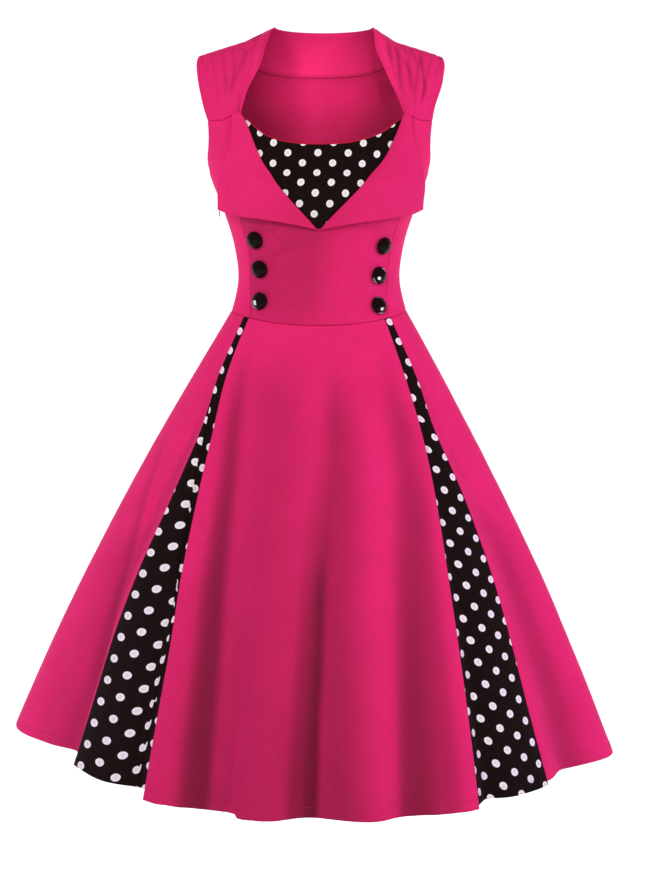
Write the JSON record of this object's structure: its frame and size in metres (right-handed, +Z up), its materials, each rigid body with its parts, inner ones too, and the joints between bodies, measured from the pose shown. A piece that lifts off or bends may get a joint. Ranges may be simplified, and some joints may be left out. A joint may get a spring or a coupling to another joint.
{
  "type": "a-line dress",
  "caption": "Sleeveless A-line swing dress, hollow as worn, with fold-over lapels, gathered shoulders, a dotted bust insert, dotted godets in the skirt, domed buttons and a side zip.",
  "frame": {"origin": "half way along the shoulder seams, on the centre line between the two shoulders, where the wearer's shoulders carry the dress", "axes": "+Z up along the dress, -Y towards its front, +X towards the wearer's left"},
  "size_m": [0.8788, 0.8202, 1.0306],
  "materials": {
    "pink_cotton": "matt, plain weave",
    "dotted_cotton": "matt, with white dots",
    "button_black": "polished",
    "zip_brass": "antique",
    "zip_tape": "matt"
  },
  "bodies": {
    "dress": {"shoulder_right": "pink_cotton", "shoulder_left": "pink_cotton", "back_neck_band": "pink_cotton", "bodice_back": "pink_cotton", "side_front_right": "pink_cotton", "side_front_left": "pink_cotton", "midriff_front": "pink_cotton", "lapel_right": "pink_cotton", "lapel_left": "pink_cotton", "skirt_front": "pink_cotton", "skirt_side_right": "pink_cotton", "skirt_side_left": "pink_cotton", "skirt_back_left": "pink_cotton", "skirt_back_right": "pink_cotton", "bust_insert": "dotted_cotton", "godet_right": "dotted_cotton", "godet_left": "dotted_cotton", "button_1": "button_black", "button_2": "button_black", "button_3": "button_black", "button_4": "button_black", "button_5": "button_black", "button_6": "button_black", "zip_tape": "zip_tape", "zip_slider": "zip_brass"},
    "zip_pull": {"zip_pull": "zip_brass"}
  },
  "joints": [
    {"name": "zip_pull_swing", "type": "hinge", "parent": "dress", "child": "zip_pull", "pos_m": [-0.1433, 0, -0.229], "axis": [0, 1, 0], "range_deg": [-4, 150]}
  ]
}
